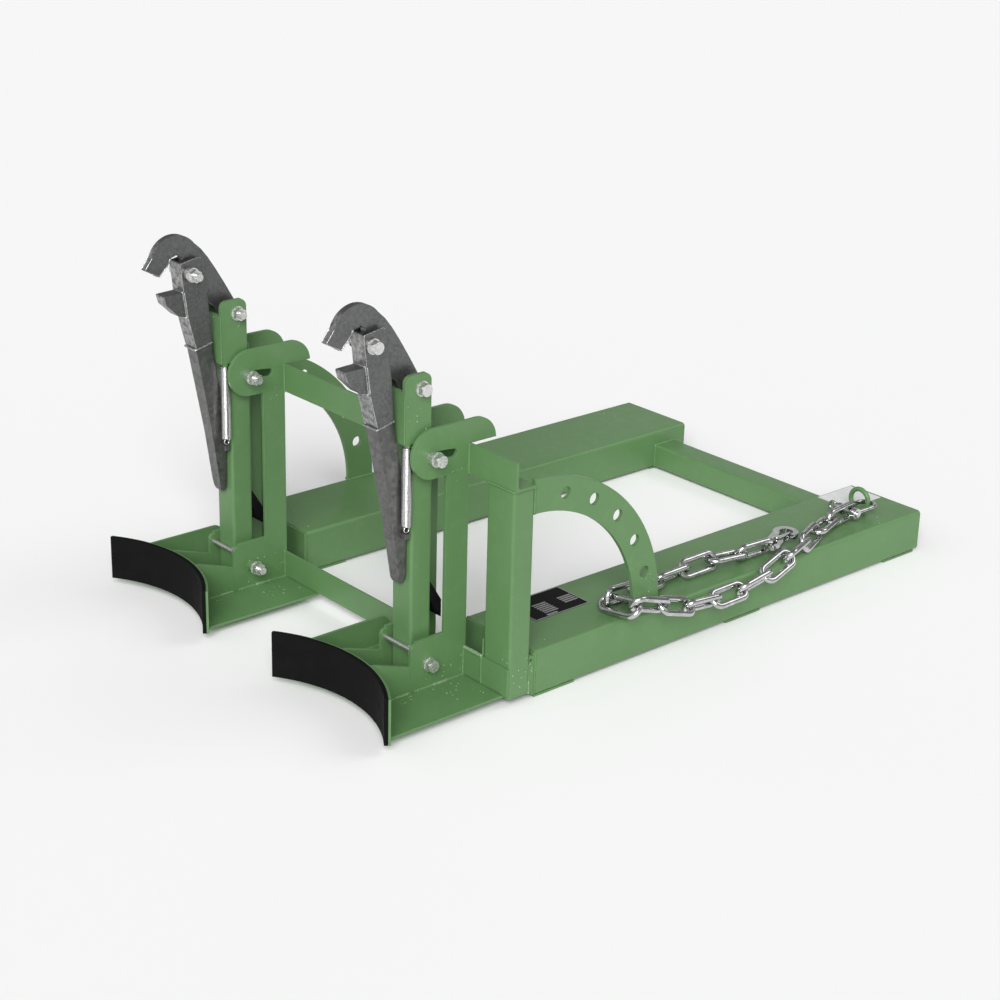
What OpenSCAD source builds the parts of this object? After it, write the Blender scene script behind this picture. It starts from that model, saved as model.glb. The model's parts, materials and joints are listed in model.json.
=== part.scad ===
// Fork-mounted twin drum lifter: two fork pockets, a front frame, two drum
// cradles with rubber pads, and two spring-loaded clamping heads that grip the
// drum rim. Millimetres, +Z up, forks enter from +Y, drums stand at -Y.

/* [Fork pockets] */
// length of each fork pocket
pocket_l = 1184; // [900:1:1500]
// outer width of each pocket tube
pocket_w = 210; // [160:1:260]
// outer height of each pocket tube
pocket_h = 95; // [70:1:120]
// wall thickness of the pocket tube
pocket_t = 5; // [3:0.5:8]
// distance from the middle plane to the middle of a pocket
pocket_x = 375; // [300:1:450]
// outer corner radius of the pocket tube
pocket_r = 9; // [4:1:14]
// thickness of the straps under the pockets
strap_t = 5; // [3:0.5:10]
// length of one strap along the pocket
strap_l = 107; // [60:1:160]

/* [Front frame] */
// distance from the middle plane to the middle of a clamping unit
unit_x = 300; // [250:1:360]
// underside of the front structure
front_z = 17; // [10:1:40]
// height of the top of the two posts
post_top = 445; // [350:1:520]
// post width across the machine
post_w = 77; // [50:1:100]
// post depth along the machine
post_d = 52; // [40:1:80]
// leg height of the top angle
angle_h = 60; // [40:1:80]
// thickness of the two side plates of a unit
side_t = 8; // [6:0.5:12]
// distance over the two side plates of a unit
side_w = 100; // [80:1:130]

/* [Cradles] */
// radius of the drum side of the rubber pad
drum_r = 300; // [250:1:320]
// thickness of the rubber pad
pad_t = 8; // [5:0.5:15]
// thickness of the steel cradle plate
cradle_t = 5; // [4:0.5:10]
// half of the angle that a cradle spans
cradle_half = 36.3; // [25:0.1:45]
// distance from the pocket fronts to the drum centre
drum_y = 613; // [560:1:680]

/* [Quadrants] */
// outer radius of a quadrant plate
quad_r = 351; // [300:1:400]
// radial width of a quadrant plate
quad_b = 70; // [50:1:90]
// thickness of a quadrant plate
quad_t = 10; // [6:0.5:15]
// diameter of the holes in a quadrant plate
quad_hole = 25; // [16:0.5:32]

/* [Clamping units] */
// width of the mast bar
mast_w = 58; // [40:1:70]
// depth of the mast bar
mast_d = 50; // [30:1:60]
// height of the mast pivot
pivot_z = 72; // [50:1:100]
// height of the slot bolt in the side plates
slot_z = 498; // [450:1:540]
// rearward lean of the mast that the slots allow, in degrees
lean_max = 7; // [3:0.5:10]
// thickness of the beak plate
beak_t = 15; // [10:0.5:20]
// outer width of the lever channel
lever_w = 40; // [34:1:50]
// shank diameter of the pivot bolts
bolt_d = 16; // [12:1:20]
// radial clearance of the hinge bores on their bolts
hinge_gap = 0.1; // [0.02:0.01:0.3]

/* [Chain] */
// wire diameter of the chain
wire_d = 13; // [8:1:16]
// inner length of one link
link_t = 82; // [52:1:100]
// outer width of one link
link_w = 47; // [30:1:60]
// distance between the middles of two neighbouring links
link_pitch = 79; // [50:0.5:99]

/* [Hidden] */

green = [0.36, 0.50, 0.33];
zinc = [0.55, 0.56, 0.56];
black = [0.05, 0.05, 0.05];
pocket_top = strap_t + pocket_h;
post_y0 = -18 - post_d;             // front face of the posts
post_xo = pocket_x + pocket_w/2;    // outer face of posts and pockets
back_r = drum_r + pad_t + cradle_t; // back of the cradle plate
mast_y = -167;                      // middle plane of the masts
mast_f = mast_y - mast_d/2;         // front face of the masts
bolt_y = -162;                      // pivot and slot bolts of the masts
lean_r = slot_z - pivot_z;
sh = side_w/2;
head_y = -177; head_z = 632;        // pivot of the beak
lev_y = -277;  lev_z = 727;         // pivot of the lever on the beak
quad_cy = -20; quad_cz = 108;
quad_x = post_xo - 1 - quad_t/2;
spring_x = 29.5; spring_y = -204.3;
boss = 15;                          // spacer tubes under the bolt ends
lever_boss = 11;
$fn = 64;

// ---------- helpers ----------
// everything is drawn with y = 0 at the pocket fronts, then moved so that the
// origin lies in the plane of the pocket mouths
module place() { translate([0, -pocket_l, 0]) children(); }
module unit(s) { place() translate([s*unit_x, 0, 0]) children(); }
module munit(s) { place() mirror([s < 0 ? 1 : 0, 0, 0]) translate([unit_x, 0, 0]) children(); }
module yz(x0, t) { translate([x0, 0, 0]) rotate([90, 0, 90]) linear_extrude(t) children(); }
module xz(y0, t) { translate([0, y0 + t, 0]) rotate([90, 0, 0]) linear_extrude(t) children(); }
module rr(w, h, r) {
  square([w - 2*r, h], center = true);
  square([w, h - 2*r], center = true);
  for (a = [-1, 1], b = [-1, 1]) translate([a*(w/2 - r), b*(h/2 - r)]) circle(r, $fn = 48);
}
module tube2d(w, h, t, r) {
  difference() { rr(w, h, r); rr(w - 2*t, h - 2*t, max(r - t, 1)); }
}
module xcyl(x0, x1, y, z, d) { translate([x0, y, z]) rotate([0, 90, 0]) cylinder(d = d, h = x1 - x0); }
module hexx(x0, x1, y, z, af) { translate([x0, y, z]) rotate([0, 90, 0]) cylinder(d = af/cos(30), h = x1 - x0, $fn = 6); }
module ring(x0, x1, y, z, d, b) { difference() { xcyl(x0, x1, y, z, d); xcyl(x0 - 1, x1 + 1, y, z, b); } }
module sector(a) { polygon([[0, 0], [-900*sin(a), 900*cos(a)], [900*sin(a), 900*cos(a)]]); }
// hexagon bolt along X: head from x1 outwards, shank back to x0
module hexbolt(x0, x1, y, z, d) {
  xcyl(x0, x1, y, z, d);
  intersection() {
    hexx(x1, x1 + 0.9*d, y, z, 1.5*d);
    translate([x1, y, z]) rotate([0, 90, 0]) cylinder(r1 = 1.1*d, r2 = 0.74*d, h = 0.9*d + 0.01);
  }
}
module nut(x0, y, z, d) {
  difference() { hexx(x0, x0 + 0.8*d, y, z, 1.5*d); xcyl(x0 - 1, x0 + d, y, z, d + 0.2); }
}

// ---------- fork pockets ----------
module fork_pocket(s) {
  color(green) place() xz(0, pocket_l) translate([s*pocket_x, strap_t + pocket_h/2])
    tube2d(pocket_w, pocket_h, pocket_t, pocket_r);
}
module pocket_straps() {
  color(green) place() for (s = [-1, 1], y = [0, 545, 1069])
    translate([s*pocket_x - pocket_w/2 + 4, y, 0]) cube([pocket_w - 8, strap_l, strap_t]);
}
// plates that close the pocket fronts, and the blocks between them and the posts
module pocket_front_plates() {
  color(green) place() for (s = [-1, 1]) {
    translate([s*pocket_x - pocket_w/2 + 3, -8, strap_t + 2]) cube([pocket_w - 6, 8, pocket_h - 4]);
    difference() {
      translate([s*442 - 36, -18, 12]) cube([72, 10, 80]);
      translate([s*478 - 12, -13, 84]) rotate([0, 90, 0]) cylinder(d = 7.4, h = 24);
    }
  }
}

// ---------- front frame ----------
module post() {
  translate([post_xo - post_w/2, -18 - post_d/2, front_z]) linear_extrude(post_top - front_z)
    tube2d(post_w, post_d, 5, 6);
}
module posts() { color(green) place() { post(); mirror([1, 0, 0]) post(); } }
module top_cross_angle() {
  color(green) place() yz(-post_xo - 5, 2*post_xo + 10) {
    translate([post_y0, post_top]) square([6, angle_h]);
    translate([post_y0, post_top]) square([post_d, 6]);
    difference() {
      translate([post_y0 + 5, post_top + 5]) square(8);
      translate([post_y0 + 13, post_top + 13]) circle(7);
      translate([post_y0 + 13, post_top]) square([20, 30]);
      translate([post_y0, post_top + 13]) square([30, 20]);
    }
  }
}
module front_cross_bars() {
  color(green) place() {
    translate([-unit_x + sh, post_y0 - 5, front_z + 7.5]) cube([2*(unit_x - sh), 5, 57.5]);
    for (s = [0, 1]) mirror([s, 0, 0]) translate([unit_x + sh, post_y0 - 5, front_z + 7.5])
      cube([post_xo - unit_x - sh, 5, 57.5]);
  }
}
module rear_cross_beam() {
  color(green) place() yz(-(pocket_x - pocket_w/2), 2*(pocket_x - pocket_w/2))
    translate([1114, strap_t + 29.5]) tube2d(70, 59, 4, 6);
}
module quadrant(s) {
  color(green) place() yz(s*quad_x - quad_t/2, quad_t) difference() {
    intersection() {
      translate([quad_cy, quad_cz]) difference() { circle(quad_r, $fn = 180); circle(quad_r - quad_b, $fn = 180); }
      translate([-18, pocket_top]) square(400);
    }
    for (a = [15:15:75]) translate([quad_cy + (quad_r - quad_b/2 + 1)*sin(a), quad_cz + (quad_r - quad_b/2 + 1)*cos(a)])
      circle(d = quad_hole);
  }
}

// ---------- cradles and base plates ----------
module base_plate(s) {
  color(green) unit(s) difference() {
    xz(-400, 400 + post_y0) {
      translate([-156, front_z]) square([321, 6]);
      translate([-164, front_z + 8]) square([6, 58]);
      intersection() {
        translate([-156, front_z + 8]) difference() { circle(8); circle(2); }
        translate([-164, front_z]) square(8);
      }
    }
    translate([0, -drum_y, 0]) cylinder(r = back_r, h = 200, $fn = 180);
    yz(-170, 13.9) {
      translate([-94, front_z + 7]) square(100);
      difference() { translate([-120, front_z + 40]) square(60); translate([-120, front_z + 40]) circle(26); }
    }
  }
}
module gussets() {
  for (s = [-1, 1]) color(green) unit(s) for (x = [-sh, sh - side_t]) difference() {
    yz(x, side_t) polygon([[-207, front_z + 6], [-207, 80], [-212, 81], [-290, 107], [-310, 110], [-310, front_z + 6]]);
    translate([0, -drum_y, 0]) cylinder(r = back_r, h = 200, $fn = 180);
  }
}
module cradle(r0, t, z0, z1) {
  translate([0, -drum_y, z0]) linear_extrude(z1 - z0) intersection() {
    difference() { circle(r0 + t, $fn = 180); circle(r0, $fn = 180); }
    sector(cradle_half);
  }
}
module cradle_plate(s) { color(green) unit(s) cradle(drum_r + pad_t, cradle_t, front_z + 2, 113); }
module rubber_pad(s) { color(black) unit(s) cradle(drum_r, pad_t, front_z + 2, 115); }

// ---------- side plates of a clamping unit ----------
module slot2d() {
  g = bolt_d/2 + 0.4;
  translate([bolt_y, pivot_z]) {
    intersection() {
      difference() { circle(lean_r + g, $fn = 360); circle(lean_r - g, $fn = 360); }
      polygon([[0, 0], [0, 600], [600*tan(lean_max + 0.1), 600]]);
    }
    for (a = [0, lean_max + 0.1]) translate([lean_r*sin(a), lean_r*cos(a)]) circle(g);
  }
}
module side2d() {
  difference() {
    union() {
      // foot
      translate([-195, front_z + 6]) square([125, 95 - 6 + 11]);
      translate([-207, front_z + 6]) square([30, 88]);
      translate([-195, front_z + 94]) circle(12);
      translate([-195, 100]) square([70, 28]);
      // rear leg, arm and rear lobe
      translate([-125, front_z + 6]) square([125 + post_y0, 490 - front_z]);
      translate([-158, 503]) circle(50);
      translate([-158, 453]) square([158 + post_y0, 100]);
      intersection() {
        translate([post_y0, post_top + angle_h]) square([80, 50]);
        union() { translate([-54, 503]) circle(50); translate([post_y0 - 5, 500]) square([21, 53]); }
      }
    }
    translate([bolt_y, pivot_z]) circle(d = bolt_d + 0.5);
    slot2d();
  }
}
module side_plates(s) { color(green) munit(s) for (x = [-sh, sh - side_t]) yz(x, side_t) side2d(); }
// stop bolts: shank across the mast's front, head beside the mast
module stop_pins() {
  color(zinc) for (s = [-1, 1]) unit(s) {
    xcyl(side_t - sh, mast_w/2 + 2, mast_f - 5.4, 107, 10);
    hexx(mast_w/2 + 1, sh - side_t - 2, mast_f - 5.4, 107, 16);
  }
}

module pivot_bolts() { color(zinc) for (s = [-1, 1]) munit(s) hexbolt(-sh - boss - 28, sh + 3, bolt_y, pivot_z, bolt_d); }
module pivot_nuts() { color(zinc) for (s = [-1, 1]) munit(s) nut(-sh - boss - 3 - 0.8*bolt_d, bolt_y, pivot_z, bolt_d); }
module pivot_washers() {
  color(zinc) for (s = [-1, 1]) munit(s) {
    ring(sh, sh + 3, bolt_y, pivot_z, 30, 17);
    ring(-sh - boss - 3, -sh - boss, bolt_y, pivot_z, 30, 17);
  }
}
module pivot_spacers() {
  color(green) for (s = [-1, 1]) munit(s) {
    for (m = [0, 1]) mirror([m, 0, 0]) ring(mast_w/2 + 0.4, sh - side_t, bolt_y, pivot_z, 32, bolt_d + 0.4);
    ring(-sh - boss, -sh, bolt_y, pivot_z, 26, bolt_d + 0.4);
  }
}

// ---------- mast ----------
module mast_bar(s) {
  color(green) munit(s) difference() {
    translate([0, mast_y, 45]) linear_extrude(515) tube2d(mast_w, mast_d, 5, 6);
    xcyl(-60, 60, bolt_y, pivot_z, bolt_d + 2*hinge_gap);
    xcyl(-60, 60, bolt_y, slot_z, bolt_d + 1);
  }
}
module mast_head(s) {
  color(green) munit(s) {
    difference() {
      union() {
        for (x = [-mast_w/2 - 8, mast_w/2]) yz(x, 8) difference() {
          union() {
            translate([-216, 528]) square([62, 110]);
            translate([-216, 630]) square([30, 16]);
            translate([-200, 630]) square([33, 31]);
            translate([-172, 643]) circle(18);
            translate([-201, 646]) circle(15);
          }
        }
        translate([-mast_w/2, -216, 528]) cube([mast_w, 8, 102]);
        translate([-mast_w/2, -216, 528]) cube([mast_w, -192 + 216, 8]);
      }
      xcyl(-60, 60, head_y, head_z, bolt_d + 0.5);
    }
    // stud that carries the upper end of the spring
    translate([s*spring_x, spring_y, 522]) cylinder(d = 14, h = 7);
  }
}
module mast_bolts(s) {
  color(zinc) munit(s) {
    hexbolt(-sh - boss - 28, sh + boss + 3.4, bolt_y, slot_z, bolt_d);
    hexbolt(-mast_w/2 - 8 - 25, mast_w/2 + 8 + 3, head_y, head_z, bolt_d);
  }
}
module mast_nuts(s) {
  color(zinc) munit(s) {
    nut(-sh - boss - 3.4 - 0.8*bolt_d, bolt_y, slot_z, bolt_d);
    nut(-mast_w/2 - 11 - 0.8*bolt_d, head_y, head_z, bolt_d);
  }
}
module mast_washers(s) {
  color(zinc) munit(s) for (m = [0, 1]) mirror([m, 0, 0]) {
    ring(sh + 0.4, sh + boss + 0.4, bolt_y, slot_z, 26, 17);
    ring(sh + boss + 0.4, sh + boss + 3.4, bolt_y, slot_z, 30, 17);
    ring(mast_w/2 + 8, mast_w/2 + 11, head_y, head_z, 30, 17);
  }
}
module head_spacers(s) {
  color(zinc) munit(s) for (m = [0, 1]) mirror([m, 0, 0])
    ring(beak_t/2 + 0.4, mast_w/2, head_y, head_z, 28, bolt_d + 0.6);
}
module buffer(s) {
  color(black) munit(s) yz(-mast_w/2 + 1, mast_w - 2)
    polygon([[mast_f + mast_d, 232], [-115, 188], [-115, 150], [mast_f + mast_d, 194]]);
}
module spring(s) {
  color(zinc) munit(s) translate([s*spring_x, spring_y, 0]) {
    difference() { translate([0, 0, 362]) cylinder(d = 22, h = 159.7); translate([0, 0, 365]) cylinder(d = 16, h = 153.7); }
    translate([0, 0, 356.5]) rotate([0, 90, 0]) rotate_extrude(convexity = 4) translate([5.9, 0]) circle(d = 2.6, $fn = 24);
  }
}

// ---------- beak ----------
module beak_body() {
  yz(-beak_t/2, beak_t) intersection() {
    translate([-300, 750]) circle(56, $fn = 128);
    polygon([[-353.2, 767.5], [-370, 800], [-300, 840], [-235, 805], [-257.5, 786], [-300, 776], [-330, 784]]);
  }
  yz(-beak_t/2, beak_t) polygon([[-370.7, 744.5], [-353.2, 767.5], [-330, 790], [-300, 800], [-257.5, 786],
    [-240.5, 770.5], [-225.5, 752], [-207, 724.5], [-188.5, 694.7], [-175, 672], [-155, 637], [-177, 620],
    [-199, 624], [-205, 640], [-233, 666], [-262, 682], [-276, 704], [-284, 735], [-284, 757], [-296, 766],
    [-314, 760], [-318.5, 746.5], [-338, 726]]);
  translate([-beak_t/2, head_y, head_z]) rotate([0, 90, 0]) cylinder(r = 24, h = beak_t);
}
module beak_plate(s) {
  color(zinc) munit(s) {
    difference() {
      beak_body();
      xcyl(-20, 20, head_y, head_z, bolt_d + 2*hinge_gap);
      xcyl(-20, 20, lev_y, lev_z, bolt_d + 0.4);
    }
  }
}
module lever_bolt(s) {
  color(zinc) munit(s) hexbolt(-lever_w/2 - lever_boss - 28, lever_w/2 + 3.4, lev_y, lev_z, bolt_d);
}
module lever_fixings(s) {
  color(zinc) munit(s) {
    nut(-lever_w/2 - lever_boss - 3.4 - 0.8*bolt_d, lev_y, lev_z, bolt_d);
    ring(lever_w/2 + 0.4, lever_w/2 + 3.4, lev_y, lev_z, 30, 17);
    ring(-lever_w/2 - lever_boss - 0.4, -lever_w/2 - 0.4, lev_y, lev_z, 26, 17);
    ring(-lever_w/2 - lever_boss - 3.4, -lever_w/2 - lever_boss - 0.4, lev_y, lev_z, 30, 17);
  }
}

// ---------- lever ----------
module lever_channel(s) {
  color(zinc) munit(s) difference() {
    yz(-lever_w/2, lever_w) polygon([[-298, 746], [-297, 750], [-254, 758], [-249, 755], [-245, 741], [-241, 698],
      [-234, 660], [-231, 615], [-228, 574], [-265, 566], [-282, 634], [-291, 690]]);
    yz(-lever_w/2 + 5, lever_w - 10) polygon([[-293, 770], [-293, 746], [-286, 690], [-277, 634], [-259, 560], [-200, 560], [-200, 770]]);
    xcyl(-60, 60, lev_y, lev_z, bolt_d + 2*hinge_gap);
  }
}
module lever_tooth(s) {
  color(zinc) munit(s) yz(-16, 32)
    polygon([[-291.1, 689], [-334, 687], [-335, 684], [-330, 668], [-302, 641], [-283.1, 636]]);
}
module tail2d(g) {
  polygon([[-265 + g, 566], [-229 + g, 376], [-210 + g, 248 + g], [-206 + g, 240 + g], [-198 + 4*g, 240 + g],
    [-195 + 4*g, 250 + g], [-194.5 + 4*g, 345], [-197 + 4*g, 425], [-213 + 4*g, 492], [-228 + 4*g, 574]]);
}
module lever_tail(s) {
  color(zinc) munit(s) {
    difference() {
      intersection() {
        yz(-lever_w/2, lever_w) tail2d(0);
        xz(-300, 130) polygon([[-18, 575], [18, 575], [17.4, 349], [17, 262], [13, 239], [-11, 239], [-14, 349]]);
      }
      intersection() {
        yz(-lever_w/2, lever_w) tail2d(5);
        xz(-300, 200) polygon([[-13.5, 580], [13.5, 580], [12.8, 349], [12, 262], [8.5, 239], [-6.5, 239], [-9.5, 349]]);
      }
    }
    // lug that carries the lower end of the spring
    mirror([s < 0 ? 1 : 0, 0, 0]) translate([s < 0 ? 11 : 12.5, -210, 337]) cube([s < 0 ? 21.5 : 20, 12, 11.5]);
  }
}

// ---------- chain, shackle and snap hook ----------
module link(l, w, d) {
  r = (w - d)/2;
  h = l + d - 2*r - d;
  for (a = [-1, 1]) {
    translate([0, a*r, 0]) rotate([0, 90, 0]) cylinder(d = d, h = h, center = true, $fn = 24);
    translate([a*h/2, 0, 0]) rotate([0, 0, a > 0 ? -90 : 90])
      rotate_extrude(angle = 180, $fn = 48) translate([r, 0]) circle(d = d, $fn = 24);
  }
}
// one link's course: turn from -Y towards +X, climb, and roll about its own axis
chain_a = [[7, 0, -90], [18, 0, 10], [21, -1, -65], [16, -3, 50], [6, -14, -40],
  [1, -8, 50], [0, -1, -40], [-1, 5, 50], [-1, 17, -40], [-2, 18, 55]];
chain_w = [-84, -6, -40];
chain_b = [[186, -6, 90], [188, -2, 22], [180, 1, -48], [176, 3, 62], [173, -2, -6], [174, 1, -68]];
start_a = [415, 1008, 124];
mid_w = [465, 236, 124];
start_b = [434, 236, 131.2];
function cdir(c) = [sin(c[0])*cos(c[1]), -cos(c[0])*cos(c[1]), sin(c[1])];
function cpos(list, p0, i) = i == 0 ? p0 : cpos(list, p0, i - 1) + link_pitch*cdir(list[i - 1]);
module put_link(m, c) {
  translate(m) rotate([0, 0, c[0] - 90]) rotate([0, -c[1], 0]) rotate([c[2], 0, 0])
    link(link_t + wire_d, link_w, wire_d);
}
module chain_links() {
  color(zinc) place() {
    for (i = [0:len(chain_a) - 1]) put_link((cpos(chain_a, start_a, i) + cpos(chain_a, start_a, i + 1))/2, chain_a[i]);
    put_link(mid_w, chain_w);
    for (i = [0:len(chain_b) - 1]) put_link((cpos(chain_b, start_b, i) + cpos(chain_b, start_b, i + 1))/2, chain_b[i]);
  }
}
module chain_eye() {
  color(green) place() translate([391, 1070, 128]) difference() {
    union() {
      rotate([90, 0, 0]) rotate_extrude($fn = 64) translate([24.5, 0]) circle(d = 11, $fn = 24);
    }
    translate([-50, -50, -128]) cube([100, 100, pocket_top]);
  }
}
module shackle() {
  color(zinc) place() translate([415, 1062, 124]) {
    rotate_extrude(angle = 180, $fn = 64) translate([20, 0]) circle(d = 11, $fn = 24);
    for (a = [-1, 1]) difference() {
      union() {
        translate([a*20, 0, 0]) rotate([90, 0, 0]) cylinder(d = 11, h = 52);
        translate([a*20 - 6.5, -60, 0]) rotate([0, 90, 0]) cylinder(d = 25, h = 13);
      }
      translate([a*20 - 8, -60, 0]) rotate([0, 90, 0]) cylinder(d = 13.4, h = 16);
    }
  }
}
module shackle_pin() {
  color(zinc) place() translate([415, 1002, 124]) {
    rotate([0, 90, 0]) cylinder(d = 12.6, h = 60, center = true);
    translate([-31, 0, 0]) rotate([0, 90, 0]) cylinder(d = 20, h = 8, center = true);
    translate([-45, 0, 0]) rotate([90, 0, 0]) rotate_extrude($fn = 48) translate([9, 0]) circle(d = 6, $fn = 24);
  }
}
// flat snap hook: eye at the chain end, curl at the far end, sprung gate
hook_at = cpos(chain_b, start_b, len(chain_b));
module hook_place() { place() translate([hook_at[0] + 1, hook_at[1] + 10, hook_at[2]]) rotate([0, 0, 108]) children(); }
module snap_hook() {
  color(zinc) hook_place() difference() {
    union() {
      translate([0, 0, -5]) cylinder(r = 22, h = 10);
      translate([0, 0, -5]) linear_extrude(10)
        polygon([[0, 18], [12, 18], [60, 23], [76, 28], [76, 8], [44, 6], [22, -12], [0, -18]]);
      translate([76, 0, -5]) cylinder(r = 28, h = 10);
    }
    translate([0, 0, -6]) cylinder(r = 12.5, h = 12);
    translate([76, -1, -6]) cylinder(r = 15, h = 12);
    translate([27, 0, -6]) cylinder(r = 3.1, h = 12);
    translate([0, 0, -6]) linear_extrude(12)
      polygon([[46, 3], [60, 8], [76, -1], [66, -17], [60, -45], [34, -45], [30, -10]]);
  }
}
module hook_gate() {
  color(zinc) hook_place() {
    translate([27, 0, -8.6]) cylinder(r = 3, h = 17.2);
    for (z = [-9, 7.4]) translate([27, 0, z]) cylinder(r = 5, h = 1.6);
    for (z = [-7.4, 5.6]) translate([0, 0, z]) linear_extrude(1.8)
      polygon([[21, -6], [21, 6], [33, 6], [46, -3], [72, -11], [72, -14], [40, -12], [28, -9]]);
    translate([0, 0, -7.4]) linear_extrude(14.8) polygon([[42, -9.4], [71, -10.6], [71, -12.6], [42, -11.4]]);
  }
}

// ---------- plates ----------
module rating_plate() { color(black) place() translate([280, 90, pocket_top]) cube([98, 146, 1]); }
module blank_label() { color([0.8, 0.8, 0.8]) place() translate([279, 1060, pocket_top]) cube([90, 117, 0.6]); }

fork_pocket(1);  // fork_pocket_right
fork_pocket(-1);  // fork_pocket_left
pocket_straps();
pocket_front_plates();
base_plate(1);  // base_plate_right
base_plate(-1);  // base_plate_left
gussets();
cradle_plate(1);  // cradle_plate_right
cradle_plate(-1);  // cradle_plate_left
rubber_pad(1);  // rubber_pad_right
rubber_pad(-1);  // rubber_pad_left
posts();
quadrant(1);  // quadrant_right
quadrant(-1);  // quadrant_left
top_cross_angle();
front_cross_bars();
rear_cross_beam();
side_plates(1);  // side_plates_right
side_plates(-1);  // side_plates_left
stop_pins();
pivot_bolts();
pivot_nuts();
pivot_washers();
pivot_spacers();
chain_eye();
shackle();
shackle_pin();
chain_links();
snap_hook();
hook_gate();
rating_plate();
blank_label();
mast_bar(1);  // mast_bar_right
mast_head(1);  // mast_head_right
mast_bolts(1);  // mast_bolts_right
mast_nuts(1);  // mast_nuts_right
mast_washers(1);  // mast_washers_right
head_spacers(1);  // head_spacers_right
buffer(1);  // buffer_right
spring(1);  // spring_right
mast_bar(-1);  // mast_bar_left
mast_head(-1);  // mast_head_left
mast_bolts(-1);  // mast_bolts_left
mast_nuts(-1);  // mast_nuts_left
mast_washers(-1);  // mast_washers_left
head_spacers(-1);  // head_spacers_left
buffer(-1);  // buffer_left
spring(-1);  // spring_left
beak_plate(1);  // beak_plate_right
lever_bolt(1);  // lever_bolt_right
lever_fixings(1);  // lever_fixings_right
beak_plate(-1);  // beak_plate_left
lever_bolt(-1);  // lever_bolt_left
lever_fixings(-1);  // lever_fixings_left
lever_channel(1);  // lever_channel_right
lever_tail(1);  // lever_tail_right
lever_tooth(1);  // lever_tooth_right
lever_channel(-1);  // lever_channel_left
lever_tail(-1);  // lever_tail_left
lever_tooth(-1);  // lever_tooth_left
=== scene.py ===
import math
import random

import bpy
from mathutils import Matrix, Vector
import json


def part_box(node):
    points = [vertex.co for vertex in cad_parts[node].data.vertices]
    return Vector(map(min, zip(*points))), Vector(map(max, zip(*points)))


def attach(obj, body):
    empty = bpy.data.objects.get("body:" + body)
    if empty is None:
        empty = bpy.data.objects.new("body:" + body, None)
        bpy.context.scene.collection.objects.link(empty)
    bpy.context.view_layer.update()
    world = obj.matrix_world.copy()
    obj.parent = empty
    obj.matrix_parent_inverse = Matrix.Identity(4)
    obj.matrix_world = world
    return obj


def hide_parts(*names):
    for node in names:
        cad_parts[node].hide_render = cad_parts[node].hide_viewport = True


with open("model.json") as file:
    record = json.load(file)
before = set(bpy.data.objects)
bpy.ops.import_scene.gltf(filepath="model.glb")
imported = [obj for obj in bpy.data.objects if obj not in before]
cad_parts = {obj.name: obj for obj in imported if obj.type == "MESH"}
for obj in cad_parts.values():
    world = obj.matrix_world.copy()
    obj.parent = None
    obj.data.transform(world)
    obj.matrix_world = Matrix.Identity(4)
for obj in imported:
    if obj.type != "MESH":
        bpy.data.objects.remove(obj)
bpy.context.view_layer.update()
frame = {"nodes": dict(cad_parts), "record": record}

rnd = random.Random(7)
MM = 0.001
Y0 = -1.184  # measured y = 0 (pocket fronts) in the row frame


def P(x, y, z):
    """A point given in measured millimetres (y = 0 at the pocket fronts)."""
    return Vector((x * MM, y * MM + Y0, z * MM))


# ---------------------------------------------------------------- materials
def new_mat(name):
    m = bpy.data.materials.new(name)
    m.use_nodes = True
    nt = m.node_tree
    return m, nt, nt.nodes["Principled BSDF"]


def noise(nt, co, scale, detail=3.0, rough=0.55, w=0.0):
    n = nt.nodes.new("ShaderNodeTexNoise")
    n.inputs["Scale"].default_value = scale
    n.inputs["Detail"].default_value = detail
    n.inputs["Roughness"].default_value = rough
    nt.links.new(co, n.inputs["Vector"])
    return n.outputs["Fac"]


def remap(nt, v, a, b, c, d):
    n = nt.nodes.new("ShaderNodeMapRange")
    n.inputs["From Min"].default_value = a
    n.inputs["From Max"].default_value = b
    n.inputs["To Min"].default_value = c
    n.inputs["To Max"].default_value = d
    nt.links.new(v, n.inputs["Value"])
    return n.outputs["Result"]


def mix(nt, fac, a, b):
    n = nt.nodes.new("ShaderNodeMix")
    n.data_type = "RGBA"
    if isinstance(fac, float):
        n.inputs["Factor"].default_value = fac
    else:
        nt.links.new(fac, n.inputs["Factor"])
    for sock, v in ((n.inputs[6], a), (n.inputs[7], b)):
        if isinstance(v, tuple):
            sock.default_value = (*v, 1.0)
        else:
            nt.links.new(v, sock)
    return n.outputs[2]


def bump(nt, h, strength, dist, prev=None):
    n = nt.nodes.new("ShaderNodeBump")
    n.inputs["Strength"].default_value = strength
    n.inputs["Distance"].default_value = dist
    nt.links.new(h, n.inputs["Height"])
    if prev is not None:
        nt.links.new(prev, n.inputs["Normal"])
    return n.outputs["Normal"]


def coords(nt):
    return nt.nodes.new("ShaderNodeTexCoord").outputs["Object"]


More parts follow.
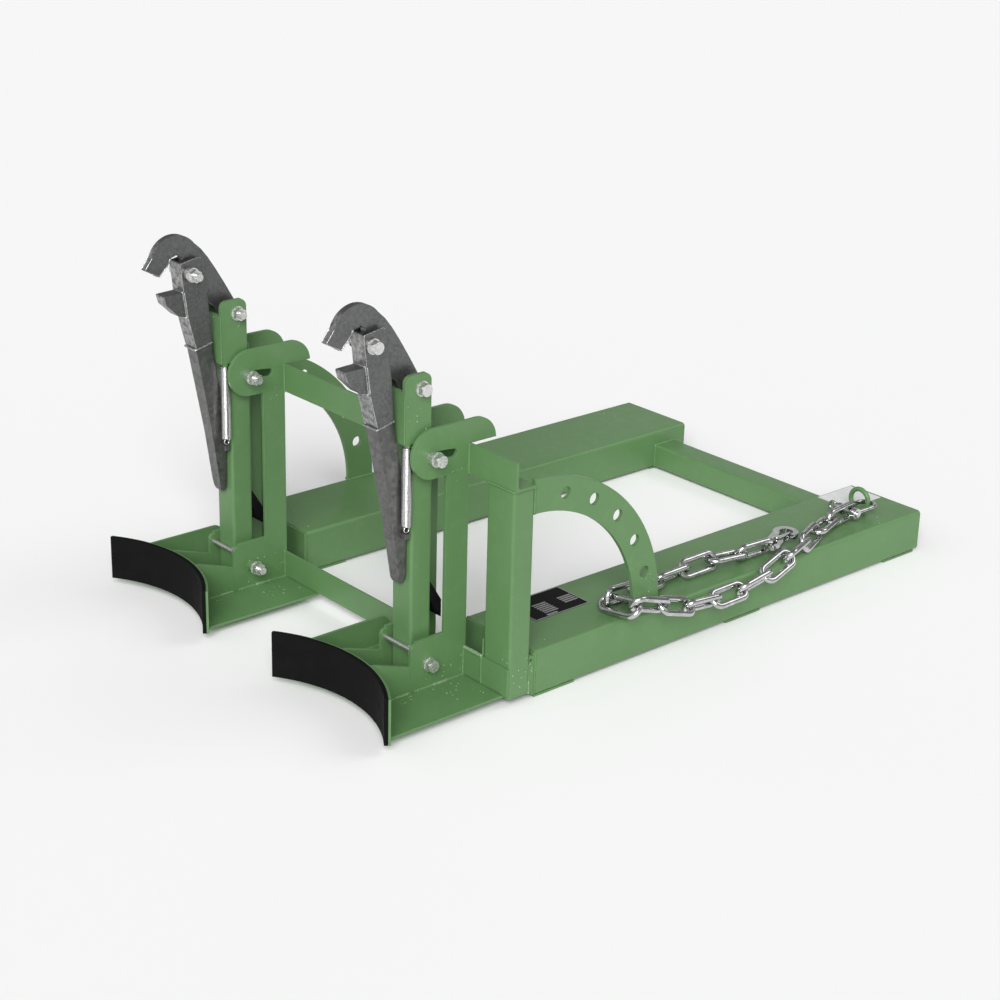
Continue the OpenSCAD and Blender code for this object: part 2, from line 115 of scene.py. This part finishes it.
def paint_mat(name, base, light, dark, rough=(0.34, 0.48)):
    m, nt, b = new_mat(name)
    co = coords(nt)
    big = noise(nt, co, 5.0, 4.0)
    mid = noise(nt, co, 38.0, 5.0, 0.6)
    fine = noise(nt, co, 620.0, 2.0, 0.5)
    c = mix(nt, remap(nt, big, 0.35, 0.65, 0.0, 1.0), dark, base)
    c = mix(nt, remap(nt, mid, 0.52, 0.80, 0.0, 0.45), c, light)
    # sparse lighter specks over the paint: painted glints of light on weld spatter
    glint_specks = remap(nt, noise(nt, co, 210.0, 4.0, 0.7), 0.66, 0.80, 0.0, 0.35)
    c = mix(nt, glint_specks, c, light)
    nt.links.new(c, b.inputs["Base Color"])
    nt.links.new(remap(nt, mid, 0.3, 0.7, *rough), b.inputs["Roughness"])
    n1 = bump(nt, big, 0.12, 0.0012)
    n2 = bump(nt, fine, 0.10, 0.00025, n1)
    nt.links.new(n2, b.inputs["Normal"])
    b.inputs["Specular IOR Level"].default_value = 0.30
    b.inputs["Coat Weight"].default_value = 0.10
    b.inputs["Coat Roughness"].default_value = 0.16
    return m


def galv_mat(name, lo_c, hi_c, rough, cell=150.0, metal=0.9, bumps=0.25, front=None):
    """Zinc skin. front: the brighter, blotchy colour painted on the faces turned to -Y, a painted highlight for the
    light that falls on them.
    """
    m, nt, b = new_mat(name)
    co = coords(nt)
    v = nt.nodes.new("ShaderNodeTexVoronoi")
    v.inputs["Scale"].default_value = cell
    nt.links.new(co, v.inputs["Vector"])
    sep = nt.nodes.new("ShaderNodeSeparateColor")
    nt.links.new(v.outputs["Color"], sep.inputs["Color"])
    cloud = noise(nt, co, 26.0, 5.0, 0.62)
    c = mix(nt, sep.outputs["Red"], lo_c, hi_c)
    c = mix(nt, remap(nt, cloud, 0.40, 0.68, 0.0, 0.55), c, hi_c)
    streak = nt.nodes.new("ShaderNodeMapping")
    streak.inputs["Scale"].default_value = (300.0, 300.0, 18.0)
    nt.links.new(co, streak.inputs["Vector"])
    s = noise(nt, streak.outputs["Vector"], 1.0, 4.0, 0.7)
    c = mix(nt, remap(nt, s, 0.60, 0.78, 0.0, 0.5), c, tuple(min(1.0, x * 1.7) for x in hi_c))
    if front:
        # faces turned to -Y get the front colour in blotches: painted highlight on the lit front faces
        xyz = nt.nodes.new("ShaderNodeSeparateXYZ")
        nt.links.new(nt.nodes.new("ShaderNodeTexCoord").outputs["Normal"], xyz.inputs["Vector"])
        face = remap(nt, xyz.outputs["Y"], -0.55, -0.80, 0.0, 1.0)
        blot = remap(nt, noise(nt, co, 95.0, 5.0, 0.68), 0.40, 0.60, 0.0, 1.0)
        front_highlight_mask = nt.nodes.new("ShaderNodeMath")
        front_highlight_mask.operation = "MULTIPLY"
        nt.links.new(face, front_highlight_mask.inputs[0])
        nt.links.new(blot, front_highlight_mask.inputs[1])
        c = mix(nt, front_highlight_mask.outputs[0], c, front)
    nt.links.new(c, b.inputs["Base Color"])
    nt.links.new(remap(nt, sep.outputs["Green"], 0.0, 1.0, *rough), b.inputs["Roughness"])
    b.inputs["Metallic"].default_value = metal
    n1 = bump(nt, cloud, bumps, 0.0012)
    n2 = bump(nt, noise(nt, co, 420.0, 3.0, 0.6), bumps * 0.6, 0.0003, n1)
    nt.links.new(n2, b.inputs["Normal"])
    return m


def rubber_mat(name):
    m, nt, b = new_mat(name)
    co = coords(nt)
    n = noise(nt, co, 30.0, 5.0, 0.6)
    c = mix(nt, remap(nt, n, 0.42, 0.72, 0.0, 1.0), (0.0035, 0.0035, 0.0038), (0.0070, 0.0070, 0.0074))
    sc = nt.nodes.new("ShaderNodeMapping")
    sc.inputs["Scale"].default_value = (26.0, 26.0, 260.0)
    nt.links.new(co, sc.inputs["Vector"])
    s = noise(nt, sc.outputs["Vector"], 1.0, 4.0, 0.7)
    c = mix(nt, remap(nt, s, 0.64, 0.82, 0.0, 0.5), c, (0.022, 0.022, 0.023))
    nt.links.new(c, b.inputs["Base Color"])
    nt.links.new(remap(nt, n, 0.3, 0.7, 0.70, 0.92), b.inputs["Roughness"])
    n2 = bump(nt, noise(nt, co, 800.0, 3.0), 0.2, 0.0003)
    nt.links.new(n2, b.inputs["Normal"])
    b.inputs["Specular IOR Level"].default_value = 0.10
    return m


def flat_mat(name, a, c2, rough, metal=0.0, scale=60.0):
    m, nt, b = new_mat(name)
    co = coords(nt)
    n = noise(nt, co, scale, 4.0, 0.6)
    c = mix(nt, remap(nt, n, 0.35, 0.70, 0.0, 1.0), a, c2)
    nt.links.new(c, b.inputs["Base Color"])
    nt.links.new(remap(nt, n, 0.3, 0.7, rough[0], rough[1]), b.inputs["Roughness"])
    b.inputs["Metallic"].default_value = metal
    nt.links.new(bump(nt, noise(nt, co, 500.0, 2.0), 0.05, 0.0002), b.inputs["Normal"])
    return m


GREEN = paint_mat("reseda_green_paint", (0.109, 0.221, 0.087), (0.140, 0.261, 0.115), (0.101, 0.208, 0.080), (0.30, 0.44))
# lighter copy of the green paint for the weld beads: its lighter tone and flecks are painted glints
WELD = paint_mat("painted_weld", (0.122, 0.236, 0.097), (0.200, 0.330, 0.170), (0.104, 0.208, 0.081), (0.18, 0.30))
# much lighter copy of the green paint for spatter and some beads: painted glints
SPAT_GLINT = paint_mat("spatter_glint_paint", (0.185, 0.305, 0.155), (0.400, 0.520, 0.360), (0.135, 0.250, 0.110), (0.12, 0.22))
# lighter colour for galvanised faces turned to -Y: painted highlight on the lit front faces
PAINTED_FRONT_HIGHLIGHT = (0.40, 0.40, 0.395)
GALV = galv_mat("galvanised_steel", (0.122, 0.123, 0.125), (0.176, 0.177, 0.179), (0.34, 0.50), 260.0, 0.85, 0.25, PAINTED_FRONT_HIGHLIGHT)
GALV_TAIL = galv_mat("galvanised_tail", (0.112, 0.112, 0.111), (0.180, 0.180, 0.178), (0.30, 0.50), 120.0, 0.85, 0.40)
# bright zinc for the lever welds and hard-facing; the same colour paints the thin edge runs, which are painted
# highlights
GALV_WELD_AND_EDGE_GLINT = galv_mat("galvanised_weld_and_edge_glint", (0.26, 0.26, 0.26), (0.55, 0.55, 0.54), (0.20, 0.38), 300.0, 0.95, 0.6)
ZINC = galv_mat("zinc_fasteners", (0.56, 0.56, 0.555), (0.78, 0.78, 0.77), (0.22, 0.38), 400.0, 0.90, 0.10)
CHAIN = galv_mat("chain_zinc", (0.44, 0.44, 0.45), (0.66, 0.66, 0.66), (0.12, 0.24), 90.0, 1.0, 0.16)
SPRING = galv_mat("spring_steel", (0.60, 0.60, 0.60), (0.78, 0.78, 0.78), (0.16, 0.26), 500.0, 1.0, 0.06)
RUBBER = rubber_mat("black_rubber")
PLATE = flat_mat("plate_black", (0.0050, 0.0050, 0.0056), (0.0085, 0.0085, 0.0092), (0.55, 0.68))
PLATE.node_tree.nodes["Principled BSDF"].inputs["Specular IOR Level"].default_value = 0.12
SILVER = flat_mat("plate_silver", (0.24, 0.24, 0.235), (0.38, 0.38, 0.37), (0.42, 0.55), 0.3, 260.0)
LABEL = flat_mat("label_grey", (0.66, 0.67, 0.66), (0.76, 0.77, 0.76), (0.42, 0.55))

by_slot = {
    "reseda_paint": GREEN, "galvanised_steel": GALV, "zinc_fasteners": ZINC,
    "chain_zinc": CHAIN, "spring_steel": SPRING, "rubber": RUBBER,
    "plate_black": PLATE, "label_grey": LABEL,
}
slot_of = {s["node"]: s["material_slot"] for s in frame["record"]["subparts"]}
for n, o in frame["nodes"].items():
    o.data.materials.clear()
    o.data.materials.append(GALV_TAIL if n.startswith("lever_tail") else by_slot[slot_of[n]])


# ------------------------------------------------- small rounded edges on CAD
def soften(o, width, angle=32.0):
    for d in bpy.context.selected_objects:
        d.select_set(False)
    o.select_set(True)
    bpy.context.view_layer.objects.active = o
    if o.data.has_custom_normals:
        bpy.ops.mesh.customdata_custom_splitnormals_clear()
    w = o.modifiers.new("merge", "WELD")
    w.merge_threshold = 2e-6
    d = o.modifiers.new("planar", "DECIMATE")
    d.decimate_type = "DISSOLVE"
    d.angle_limit = math.radians(0.6)
    b = o.modifiers.new("edge", "BEVEL")
    b.width = width
    b.segments = 2
    b.limit_method = "ANGLE"
    b.angle_limit = math.radians(angle)
    b.harden_normals = True
    b.miter_outer = "MITER_ARC"
    b.use_clamp_overlap = True
    for p in o.data.polygons:
        p.use_smooth = True
    o.select_set(False)


SOFT = {
    "pocket_straps": 0.8, "pocket_front_plates": 0.8, "gussets": 0.8, "posts": 0.6,
    "top_cross_angle": 1.0, "front_cross_bars": 0.8, "rear_cross_beam": 0.5,
    "stop_pins": 0.8, "rating_plate": 0.3,
}
for side in ("right", "left"):
    SOFT.update({
        "side_plates_" + side: 0.8, "mast_head_" + side: 0.8, "mast_bar_" + side: 0.5,
        "quadrant_" + side: 0.8, "base_plate_" + side: 0.8, "cradle_plate_" + side: 0.6,
        "rubber_pad_" + side: 1.2, "beak_plate_" + side: 0.8, "lever_channel_" + side: 0.8,
        "lever_tail_" + side: 0.7, "lever_tooth_" + side: 1.0, "buffer_" + side: 1.5,
        "fork_pocket_" + side: 0.5,
    })
for n, w in SOFT.items():
    soften(frame["nodes"][n], w * MM)


# ---------------------------------------------------------------- mesh tools
def make(name, verts, faces, mat, body, smooth=True):
    me = bpy.data.meshes.new(name)
    me.from_pydata([tuple(v) for v in verts], [], faces)
    me.validate()
    me.update()
    o = bpy.data.objects.new(name, me)
    bpy.context.scene.collection.objects.link(o)
    me.materials.append(mat)
    if smooth:
        for p in me.polygons:
            p.use_smooth = True
    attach(o, body)
    return o


class Soup:
    def __init__(self):
        self.v, self.f = [], []

    def add(self, verts, faces):
        k = len(self.v)
        self.v += verts
        self.f += [tuple(i + k for i in f) for f in faces]

    def tube(self, pts, rad, n=8, closed=False, flat=1.0):
        """Sweeps a circle along pts. rad is a function of (distance, angle) or a number."""
        m = len(pts)
        if m < 2:
            return
        rings, dist = [], 0.0
        up = None
        for i in range(m):
            if closed:
                t = (pts[(i + 1) % m] - pts[(i - 1) % m]).normalized()
            else:
                t = (pts[min(i + 1, m - 1)] - pts[max(i - 1, 0)]).normalized()
            if up is None:
                up = Vector((0, 0, 1)) if abs(t.z) < 0.9 else Vector((0, 1, 0))
            a = (up - t * up.dot(t)).normalized()
            b = t.cross(a)
            up = a
            if i:
                dist += (pts[i] - pts[i - 1]).length
            ring = []
            for k in range(n):
                th = 2 * math.pi * k / n
                r = rad(dist, th) if callable(rad) else rad
                ring.append(pts[i] + a * (math.cos(th) * r * flat) + b * (math.sin(th) * r))
            rings.append(ring)
        verts = [p for ring in rings for p in ring]
        faces = []
        for i in range(m if closed else m - 1):
            j = (i + 1) % m
            for k in range(n):
                l = (k + 1) % n
                faces.append((i * n + k, i * n + l, j * n + l, j * n + k))
        if not closed:
            faces.append(tuple(reversed(range(n))))
            faces.append(tuple((m - 1) * n + k for k in range(n)))
        self.add(verts, faces)

    def ball(self, c, r, squash=(1, 1, 1), n=8, m=5):
        verts = [c + Vector((0, 0, r * squash[2]))]
        for i in range(1, m):
            a = math.pi * i / m
            for k in range(n):
                t = 2 * math.pi * k / n
                verts.append(c + Vector((r * squash[0] * math.sin(a) * math.cos(t),
                                         r * squash[1] * math.sin(a) * math.sin(t),
                                         r * squash[2] * math.cos(a))))
        verts.append(c - Vector((0, 0, r * squash[2])))
        faces = [(0, 1 + k, 1 + (k + 1) % n) for k in range(n)]
        for i in range(m - 2):
            for k in range(n):
                l = (k + 1) % n
                faces.append((1 + i * n + k, 1 + (i + 1) * n + k, 1 + (i + 1) * n + l, 1 + i * n + l))
        last = len(verts) - 1
        faces += [(last, 1 + (m - 2) * n + (k + 1) % n, 1 + (m - 2) * n + k) for k in range(n)]
        self.add(verts, faces)

    def box(self, a, b):
        (x0, y0, z0), (x1, y1, z1) = a, b
        v = [Vector(p) for p in ((x0, y0, z0), (x1, y0, z0), (x1, y1, z0), (x0, y1, z0),
                                 (x0, y0, z1), (x1, y0, z1), (x1, y1, z1), (x0, y1, z1))]
        self.add(v, [(3, 2, 1, 0), (4, 5, 6, 7), (0, 1, 5, 4), (1, 2, 6, 5), (2, 3, 7, 6), (3, 0, 4, 7)])


def along(pts, step):
    out = [pts[0]]
    for a, b in zip(pts, pts[1:]):
        n = max(1, int(math.ceil((b - a).length / step)))
        out += [a + (b - a) * (i / n) for i in range(1, n + 1)]
    return out


def bead(soup, pts, r=3.0, spat=0.0, spread=22.0, up=(0, 0, 1)):
    """A weld bead with ripples along pts (measured millimetres)."""
    line = along([P(*p) for p in pts], 1.1 * MM)
    ph = rnd.uniform(0, 6)
    wob = rnd.uniform(0, 6)

    def rad(d, th):
        d = d / MM
        return r * MM * (1.0 + 0.13 * math.sin(2 * math.pi * (d + 1.1 * math.cos(th)) / 3.3 + ph)
                         + 0.12 * math.sin(d / 9.0 + wob) + 0.06 * math.sin(d / 2.3 + th))

    soup.tube(line, rad, 8)
    soup.ball(line[0], r * MM * 1.05)
    soup.ball(line[-1], r * MM * 1.05)
    return line


# ---------------------------------------------------------------- weld beads
w = Soup()
for s in (-1, 1):
    cx = s * 300
    # feet of the side plates on the base plate, outside and inside
    for x in (50, -50):
        bead(w, [(cx + x, -190, 23.6), (cx + x, -72, 23.6)], 3.2)
    bead(w, [(cx + 42, -195.5, 24), (cx + 50, -195.5, 24)], 2.6)
    # gussets on the base plate and against the cradle plate
    for x in (50, 42, -50, -42):
        bead(w, [(cx + x, -300, 23.4), (cx + x, -209, 23.4)], 2.4)
        bead(w, [(cx + x, -613 + math.sqrt(313.4 ** 2 - x * x), 30),
                 (cx + x, -613 + math.sqrt(313.4 ** 2 - x * x), 108)], 2.2)
    # cradle plate on the base plate
    arc = []
    for i in range(-28, 29, 4):
        a = math.radians(i)
        arc.append((cx + 314.2 * math.sin(a), -613 + 314.2 * math.cos(a), 23.6))
    bead(w, arc, 2.8)
    # rear legs of the side plates on the cross bar and on the top angle
    for x in (50, -50):
        bead(w, [(cx + x, -75.6, 26), (cx + x, -75.6, 82)], 2.4)
        bead(w, [(cx + x, -70.8, 446), (cx + x, -70.8, 503)], 2.6)
    # bar ends on the posts
    bead(w, [(s * 403.4, -75.4, 26), (s * 403.4, -75.4, 80)], 2.4)
    bead(w, [(s * 403.0, -70.6, 83), (s * 403.0, -70.6, 118)], 1.8)
    # top angle on the posts
    bead(w, [(s * 404, -70.8, 445), (s * 479, -70.8, 445)], 2.3)
    bead(w, [(s * 480.6, -69, 445), (s * 480.6, -20, 445)], 2.3)
    # post foot and the block behind it
    bead(w, [(s * 478.0, -17.8, 18), (s * 478.0, -17.8, 76)], 1.5)
    bead(w, [(s * 478.0, -8.2, 13), (s * 478.0, -8.2, 74)], 1.3)
    bead(w, [(s * 408, -13, 92.2), (s * 477, -13, 92.2)], 2.0)
    # pocket mouth plates
    bead(w, [(s * 275, -1.0, 98.6), (s * 475, -1.0, 98.6)], 1.9)
    bead(w, [(s * 477.2, -1.0, 12), (s * 477.2, -1.0, 94)], 1.9)
    bead(w, [(s * 272.8, -1.0, 12), (s * 272.8, -1.0, 94)], 1.9)
    # quadrant foot on the pocket and head on the post
    for x in (468.6, 479.4):
        bead(w, [(s * x, 262, 100.8), (s * x, 330, 100.8)], 2.8)
        bead(w, [(s * x, -18.2, 391), (s * x, -18.2, 444)], 2.2)
    bead(w, [(s * 469, 331.4, 100.8), (s * 479, 331.4, 100.8)], 2.4)
    # rear beam on the pockets
    bead(w, [(s * 269.6, 1081, 64.2), (s * 269.6, 1147, 64.2)], 2.6)
    bead(w, [(s * 269.6, 1079.2, 8), (s * 269.6, 1079.2, 62)], 2.6)
    bead(w, [(s * 269.6, 1149, 8), (s * 269.6, 1149, 62)], 2.6)
    # straps
    for y in (0, 545, 1069):
        for x in (s * 375 - 101.4, s * 375 + 101.4):
            for k in (12, 68):
                bead(w, [(x, y + k, 4.4), (x, y + k + 26, 4.4)], 1.5)
# chain eye
ring = [(391 + 16.0 * math.cos(t), 1070 + 6.6 * math.sin(t), 100.9) for t in [i * math.pi / 8 for i in range(17)]]
bead(w, ring, 2.2)
make("welds_frame", w.v, w.f, WELD, "frame")
w = Soup()
# weld beads drawn in the glint colour: painted highlights on the welds
for s in (-1, 1):
    bead(w, [(s * 352, -74.0, 82.8), (s * 401, -74.0, 82.8)], 3.8)
    bead(w, [(s * 350.6, -76.4, 30), (s * 350.6, -76.4, 54)], 1.6)
    bead(w, [(s * 478.6, -18.4, 16), (s * 478.6, -18.4, 40)], 2.3)
    bead(w, [(s * 300 + 50.6, -150, 24.2), (s * 300 + 50.6, -118, 24.2)], 3.4)
    bead(w, [(s * 300 + 50.4, -240, 24.2), (s * 300 + 50.4, -214, 24.2)], 2.6)
    bead(w, [(s * 481.0, -30, 444.6), (s * 481.0, -20, 444.6)], 2.6)
make("weld_glints", w.v, w.f, SPAT_GLINT, "frame")

for side, s in (("right", 1), ("left", -1)):
    w = Soup()
    X = lambda x: s * (300 + x)
    for x in (29.6, -29.6):
        bead(w, [(X(x), -191, 528.4), (X(x), -156, 528.4)], 2.4)
        bead(w, [(X(x), -192.0, 530), (X(x), -192.0, 558)], 1.6)
        bead(w, [(X(x + math.copysign(7.2, x)), -216.6, 531), (X(x + math.copysign(7.2, x)), -216.6, 628)], 1.5)
    make("welds_mast_" + side, w.v, w.f, WELD, "mast_" + side)

    # weld between lever channel and tail, thin bright runs along the channel's edges (painted edge highlights), and
    # the tooth's welds
    g = Soup()
    for x in (20.2, -20.2):
        bead(g, [(X(x), -266, 565), (X(x), -229, 574.5)], 2.2)
        bead(g, [(X(x), -290.0, 688), (X(x), -283.4, 638)], 1.6)
    bead(g, [(X(-19), -267, 564.5), (X(19), -267, 564.5)], 2.4)
    bead(g, [(X(-16), -291.8, 689.2), (X(16), -291.8, 689.2)], 2.6)
    bead(g, [(X(-16), -284.6, 635.6), (X(16), -284.6, 635.6)], 2.3)
    for x in (16.4, -16.4):
        bead(g, [(X(x), -291.0, 688), (X(x), -284.2, 637)], 1.9)
    # thin bright runs along the channel's flange top and front edges: painted edge highlights
    for x in (19.6, -19.6):
        bead(g, [(X(x), -296.6, 749.6), (X(x), -254.5, 757.6), (X(x), -249.4, 754.8)], 1.0)
        bead(g, [(X(x), -296.8, 749), (X(x), -291.2, 692)], 0.9)
        bead(g, [(X(x), -281.6, 632), (X(x), -265.4, 568)], 0.8)
    make("welds_and_edge_glints_lever_" + side, g.v, g.f, GALV_WELD_AND_EDGE_GLINT, "lever_" + side)

    # hard-facing run on the inner side of the beak's tip, and thin bright runs on the beak's edges that are painted
    # edge highlights
    g = Soup()
    for k in range(3):
        x = -5 + 5 * k
        bead(g, [(X(x), -343.0, 730), (X(x), -327, 739.5), (X(x), -316.5, 751), (X(x), -311, 759)], 2.7)
    # thin bright runs along the beak's edges: painted edge highlights
    for x in (7.2, -7.2):
        bead(g, [(X(x), -369.6, 744.6), (X(x), -338.2, 727.0), (X(x), -319.4, 746.2)], 1.1)
        bead(g, [(X(x), -369.4, 746.2), (X(x), -353.6, 766.8)], 0.9)
    make("beak_facing_and_edge_glints_" + side, g.v, g.f, GALV_WELD_AND_EDGE_GLINT, "beak_" + side)


# ---------------------------------------------------------------- spatter
def spatter(name, body, spots, mat):
    g = Soup()
    for (c, ext, n, nrm) in spots:
        for _ in range(n):
            p = [c[i] + rnd.uniform(-1, 1) * ext[i] for i in range(3)]
            r = rnd.choice((0.8, 1.0, 1.3, 1.7, 2.2, 2.6))
            sq = [1.0, 1.0, 1.0]
            sq[nrm] = 0.6
            g.ball(P(*p), r * MM, sq, 7, 4)
    make(name, g.v, g.f, mat, body)


# spatter balls; their light colour is a painted glint, not the colour of the paint
spots = []
for s in (-1, 1):
    cx = s * 300
    spots += [
        ((cx + 50.2, -120, 60), (0, 55, 26), 26, 0), ((cx - 50.2, -120, 60), (0, 55, 26), 14, 0),
        ((cx + 100, -130, 23.1), (40, 45, 0), 22, 2), ((cx, -260, 23.1), (36, 30, 0), 10, 2),
        ((cx + 66, -250, 23.1), (10, 40, 0), 10, 2), ((s * 442, -70.2, 60), (32, 0, 36), 18, 1),
        ((s * 480.2, -44, 70), (0, 22, 50), 12, 0), ((s * 478.1, -13, 50), (0, 4, 28), 8, 0),
        ((s * 479.3, 296, 150), (0, 24, 40), 8, 0), ((s * 374, 40, 100.1), (90, 30, 0), 10, 2),
        ((cx + 50.2, -94, 446), (0, 22, 20), 8, 0), ((s * 440, 1090, 100.1), (30, 50, 0), 10, 2),
    ]
spatter("spatter_frame", "frame", spots, SPAT_GLINT)
for side, s in (("right", 1), ("left", -1)):
    spatter("spatter_mast_" + side, "mast_" + side,
            [((s * 337.1, -185, 575), (0, 28, 40), 9, 0), ((s * 300, -216.1, 580), (26, 0, 45), 6, 1),
             ((s * 262.9, -185, 575), (0, 28, 40), 5, 0)], SPAT_GLINT)


# ---------------------------------------------------------------- springs
def circle_x(cx, cy, cz, r, a0=0.0, a1=2 * math.pi, n=28):
    return [P(cx, cy + r * math.sin(a0 + (a1 - a0) * i / n), cz + r * math.cos(a0 + (a1 - a0) * i / n)) for i in range(n)]


for side, s in (("right", 1), ("left", -1)):
    cx, cy = s * 300.0 + 29.5, -204.3
    g = Soup()
    turns, z0, z1 = 57, 363.4, 520.2
    pts = []
    for i in range(turns * 16 + 1):
        t = i / 16.0
        a = 2 * math.pi * t
        end = min(t, turns - t)
        r = 9.5 - 1.6 * max(0.0, 1.0 - end)
        pts.append(P(cx + r * math.cos(a), cy + r * math.sin(a), z0 + (z1 - z0) * t / turns))
    g.tube(pts, 1.43 * MM, 7)
    coil = make("spring_coil_" + side, g.v, g.f, SPRING, "mast_" + side)
    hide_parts("spring_" + side)
    g = Soup()
    g.tube([P(cx, cy + 1.0, 400), P(cx, cy + 1.0, 384), P(cx, cy + 0.4, 368), P(cx, cy, 362.4)], 1.4 * MM, 8)
    g.tube(circle_x(cx, cy, 356.5, 5.9), 1.3 * MM, 8, closed=True)
    make("spring_drawbar_" + side, g.v, g.f, SPRING, "lever_" + side)


# ---------------------------------------------------------------- threads
def thread(soup, cx_sign, x0, x1, y, z, d=16.0, pitch=2.0):
    """Thread crests on a bolt end that points along -X of the right-hand unit."""
    n = 26
    turns = abs(x1 - x0) / pitch
    steps = max(2, int(turns * n))
    rows = []
    for i in range(steps + 1):
        a = 2 * math.pi * i / n
        x = x0 + (x1 - x0) * i / steps
        for dx, r in ((-0.85, d / 2 - 0.15), (0.0, d / 2 + 0.42), (0.85, d / 2 - 0.15)):
            xx = min(max(x + dx, min(x0, x1)), max(x0, x1))
            rows.append(P(cx_sign * (300 + xx), y + r * math.cos(a), z + r * math.sin(a)))
    faces = []
    for i in range(steps):
        for k in range(2):
            faces.append((i * 3 + k, i * 3 + k + 1, (i + 1) * 3 + k + 1, (i + 1) * 3 + k))
        faces.append((i * 3 + 2, i * 3, (i + 1) * 3, (i + 1) * 3 + 2))
    faces += [(0, 1, 2), (steps * 3 + 2, steps * 3 + 1, steps * 3)]
    soup.add(rows, faces)


g = Soup()
for s in (-1, 1):
    thread(g, s, -92.2, -81.4, -162, 72)
make("threads_frame", g.v, g.f, ZINC, "frame")
for side, s in (("right", 1), ("left", -1)):
    g = Soup()
    thread(g, s, -92.2, -81.8, -162, 498)
    thread(g, s, -61.2, -53.4, -177, 632)
    make("threads_mast_" + side, g.v, g.f, ZINC, "mast_" + side)
    g = Soup()
    thread(g, s, -58.2, -47.8, -277, 727)
    make("threads_beak_" + side, g.v, g.f, ZINC, "beak_" + side)

# ---------------------------------------------------------------- rating plate
a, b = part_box("rating_plate")
z = b.z
e = 2.2 * MM
g = Soup()
g.box((a.x, a.y, z - 0.0004), (b.x, a.y + e, z + 0.0003))
g.box((a.x, b.y - e, z - 0.0004), (b.x, b.y, z + 0.0003))
g.box((a.x, a.y + e, z - 0.0004), (a.x + e, b.y - e, z + 0.0003))
g.box((b.x - e, a.y + e, z - 0.0004), (b.x, b.y - e, z + 0.0003))


def bars(x0, y0, x1, y1, n):
    """Blank silver fields that run along Y, side by side across X."""
    w_ = (x1 - x0) / n
    for i in range(n):
        g.box(((x0 + i * w_ + 0.2 * w_) * MM, y0 * MM, z - 0.0004), ((x0 + (i + 1) * w_ - 0.2 * w_) * MM, y1 * MM, z + 0.0002))


bars(320, -988, 351, -953, 4)
bars(318, -1055, 364, -1019, 6)
bars(366, -1058, 376, -1030, 1)
make("plate_fields", g.v, g.f, SILVER, "frame", smooth=False)

# ---------------------------------------------------------------- stage
bpy.ops.mesh.primitive_plane_add(size=120, location=(0, -0.6, -0.0006))
floor = bpy.context.active_object
floor.name = "floor"
fm, nt, bs = new_mat("floor_pale")
bs.inputs["Base Color"].default_value = (0.93, 0.93, 0.93, 1)
bs.inputs["Roughness"].default_value = 0.9
bs.inputs["Specular IOR Level"].default_value = 0.0
floor.data.materials.append(fm)


# a bright white room: an even dome with soft panels, and a very large softbox near the camera side
world = bpy.data.worlds.new("studio")
bpy.context.scene.world = world
world.use_nodes = True
wn = world.node_tree
bg = wn.nodes["Background"]
bg.inputs["Color"].default_value = (1, 1, 1, 1)
direction = wn.nodes.new("ShaderNodeTexCoord").outputs["Generated"]
unit_dir = wn.nodes.new("ShaderNodeVectorMath")
unit_dir.operation = "NORMALIZE"
wn.links.new(direction, unit_dir.inputs[0])
total = wn.nodes.new("ShaderNodeMath")
total.operation = "ADD"
total.inputs[0].default_value = 0.20
total.inputs[1].default_value = 0.0
for vec, a, b, k in (((0.15, -0.80, 0.58), 0.70, 0.97, 0.55), ((0.95, 0.05, 0.42), 0.72, 0.97, 0.20),
                     ((-0.55, -0.55, 0.62), 0.80, 0.98, 0.30), ((-0.54, 0.77, 0.34), 0.955, 0.995, 0.45),
                     ((0.33, 0.60, 0.72), 0.93, 0.99, 2.00)):
    dot = wn.nodes.new("ShaderNodeVectorMath")
    dot.operation = "DOT_PRODUCT"
    wn.links.new(unit_dir.outputs["Vector"], dot.inputs[0])
    dot.inputs[1].default_value = Vector(vec).normalized()
    panel = wn.nodes.new("ShaderNodeMapRange")
    panel.interpolation_type = "SMOOTHSTEP"
    panel.inputs["From Min"].default_value = a
    panel.inputs["From Max"].default_value = b
    panel.inputs["To Min"].default_value = 0.0
    panel.inputs["To Max"].default_value = k
    wn.links.new(dot.outputs["Value"], panel.inputs["Value"])
    plus = wn.nodes.new("ShaderNodeMath")
    plus.operation = "ADD"
    wn.links.new(total.outputs[0], plus.inputs[0])
    wn.links.new(panel.outputs["Result"], plus.inputs[1])
    total = plus
wn.links.new(total.outputs[0], bg.inputs["Strength"])

sun_data = bpy.data.lights.new("large_softbox", "SUN")
sun_data.energy = 3.0
sun_data.angle = math.radians(34)
sun = bpy.data.objects.new("large_softbox", sun_data)
bpy.context.scene.collection.objects.link(sun)
az, el = math.radians(45), math.radians(33)
toward = Vector((math.sin(az) * math.cos(el), -math.cos(az) * math.cos(el), math.sin(el)))
sun.location = toward * 6.0
sun.rotation_mode = "QUATERNION"
sun.rotation_quaternion = (-toward).to_track_quat("-Z", "Y")
bpy.context.scene.view_settings.view_transform = "Standard"

# ---------------------------------------------------------------- camera
cam_data = bpy.data.cameras.new("camera")
cam = bpy.data.objects.new("camera", cam_data)
bpy.context.scene.collection.objects.link(cam)
cam_data.sensor_fit = "HORIZONTAL"
cam_data.sensor_width = 36.0
cam_data.lens = 72.2
cam_data.shift_x = 0.0082
cam_data.shift_y = -0.0293
cam_data.clip_start, cam_data.clip_end = 0.05, 300.0
R = Matrix(((0.65304, -0.28498, 0.70166), (0.75695, 0.21653, -0.61655), (0.02377, 0.93376, 0.35712)))
q = R.to_quaternion()
q.normalize()
cam.matrix_world = Matrix.Translation((3.03710, -3.55846, 1.80442)) @ q.to_matrix().to_4x4()
bpy.context.scene.camera = cam
